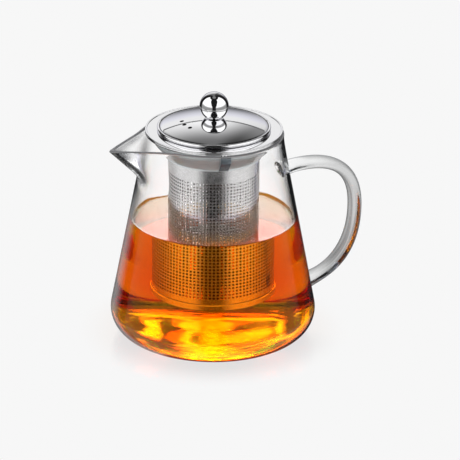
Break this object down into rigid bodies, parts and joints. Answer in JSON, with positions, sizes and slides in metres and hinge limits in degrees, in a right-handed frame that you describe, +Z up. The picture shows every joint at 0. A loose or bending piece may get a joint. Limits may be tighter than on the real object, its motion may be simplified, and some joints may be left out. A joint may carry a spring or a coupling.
{
  "type": "teapot with infuser",
  "caption": "Conical glass teapot with a beak spout and looped glass handle, a perforated steel infuser hung in its neck by a collar, and a domed lid with a ball knob.",
  "frame": {"origin": "centre of the pot's flat underside", "axes": "+Z up along the pot's round axis, +X towards the handle, -X towards the spout"},
  "size_m": [0.1728, 0.1288, 0.1588],
  "materials": {
    "glass": "clear blown borosilicate glass",
    "polished_steel": "mirror polished stainless steel",
    "satin_steel": "satin stainless steel"
  },
  "bodies": {
    "pot": {"glass_body": "glass", "glass_handle": "glass"},
    "infuser": {"collar_ring": "polished_steel", "collar_funnel": "polished_steel", "basket_tube": "satin_steel", "basket_base": "satin_steel"},
    "lid": {"lid_dome": "polished_steel", "lid_skirt": "satin_steel", "knob_ball": "polished_steel", "knob_screw": "satin_steel", "knob_washer": "satin_steel"},
    "clip_1": {"spring_clip_1": "polished_steel"},
    "clip_2": {"spring_clip_2": "polished_steel"},
    "clip_3": {"spring_clip_3": "polished_steel"}
  },
  "joints": [
    {"name": "infuser_lift", "type": "slide", "parent": "pot", "child": "infuser", "axis": [0, 0, 1], "range_m": [0, 0.115]},
    {"name": "lid_lift", "type": "slide", "parent": "infuser", "child": "lid", "axis": [0, 0, 1], "range_m": [0, 0.06]},
    {"name": "clip_1_flex", "type": "hinge", "parent": "infuser", "child": "clip_1", "pos_m": [-0.00732, -0.03002, 0.1189], "axis": [-0.9715, 0.2368, 0], "range_deg": [0, 2.5], "stiffness_Nm_per_rad": 0.1},
    {"name": "clip_2_flex", "type": "hinge", "parent": "infuser", "child": "clip_2", "pos_m": [0.02966, 0.00867, 0.1189], "axis": [0.2807, -0.9598, 0], "range_deg": [0, 2.5], "stiffness_Nm_per_rad": 0.1},
    {"name": "clip_3_flex", "type": "hinge", "parent": "infuser", "child": "clip_3", "pos_m": [-0.02234, 0.02135, 0.1189], "axis": [0.6909, 0.723, 0], "range_deg": [0, 2.5], "stiffness_Nm_per_rad": 0.1}
  ]
}
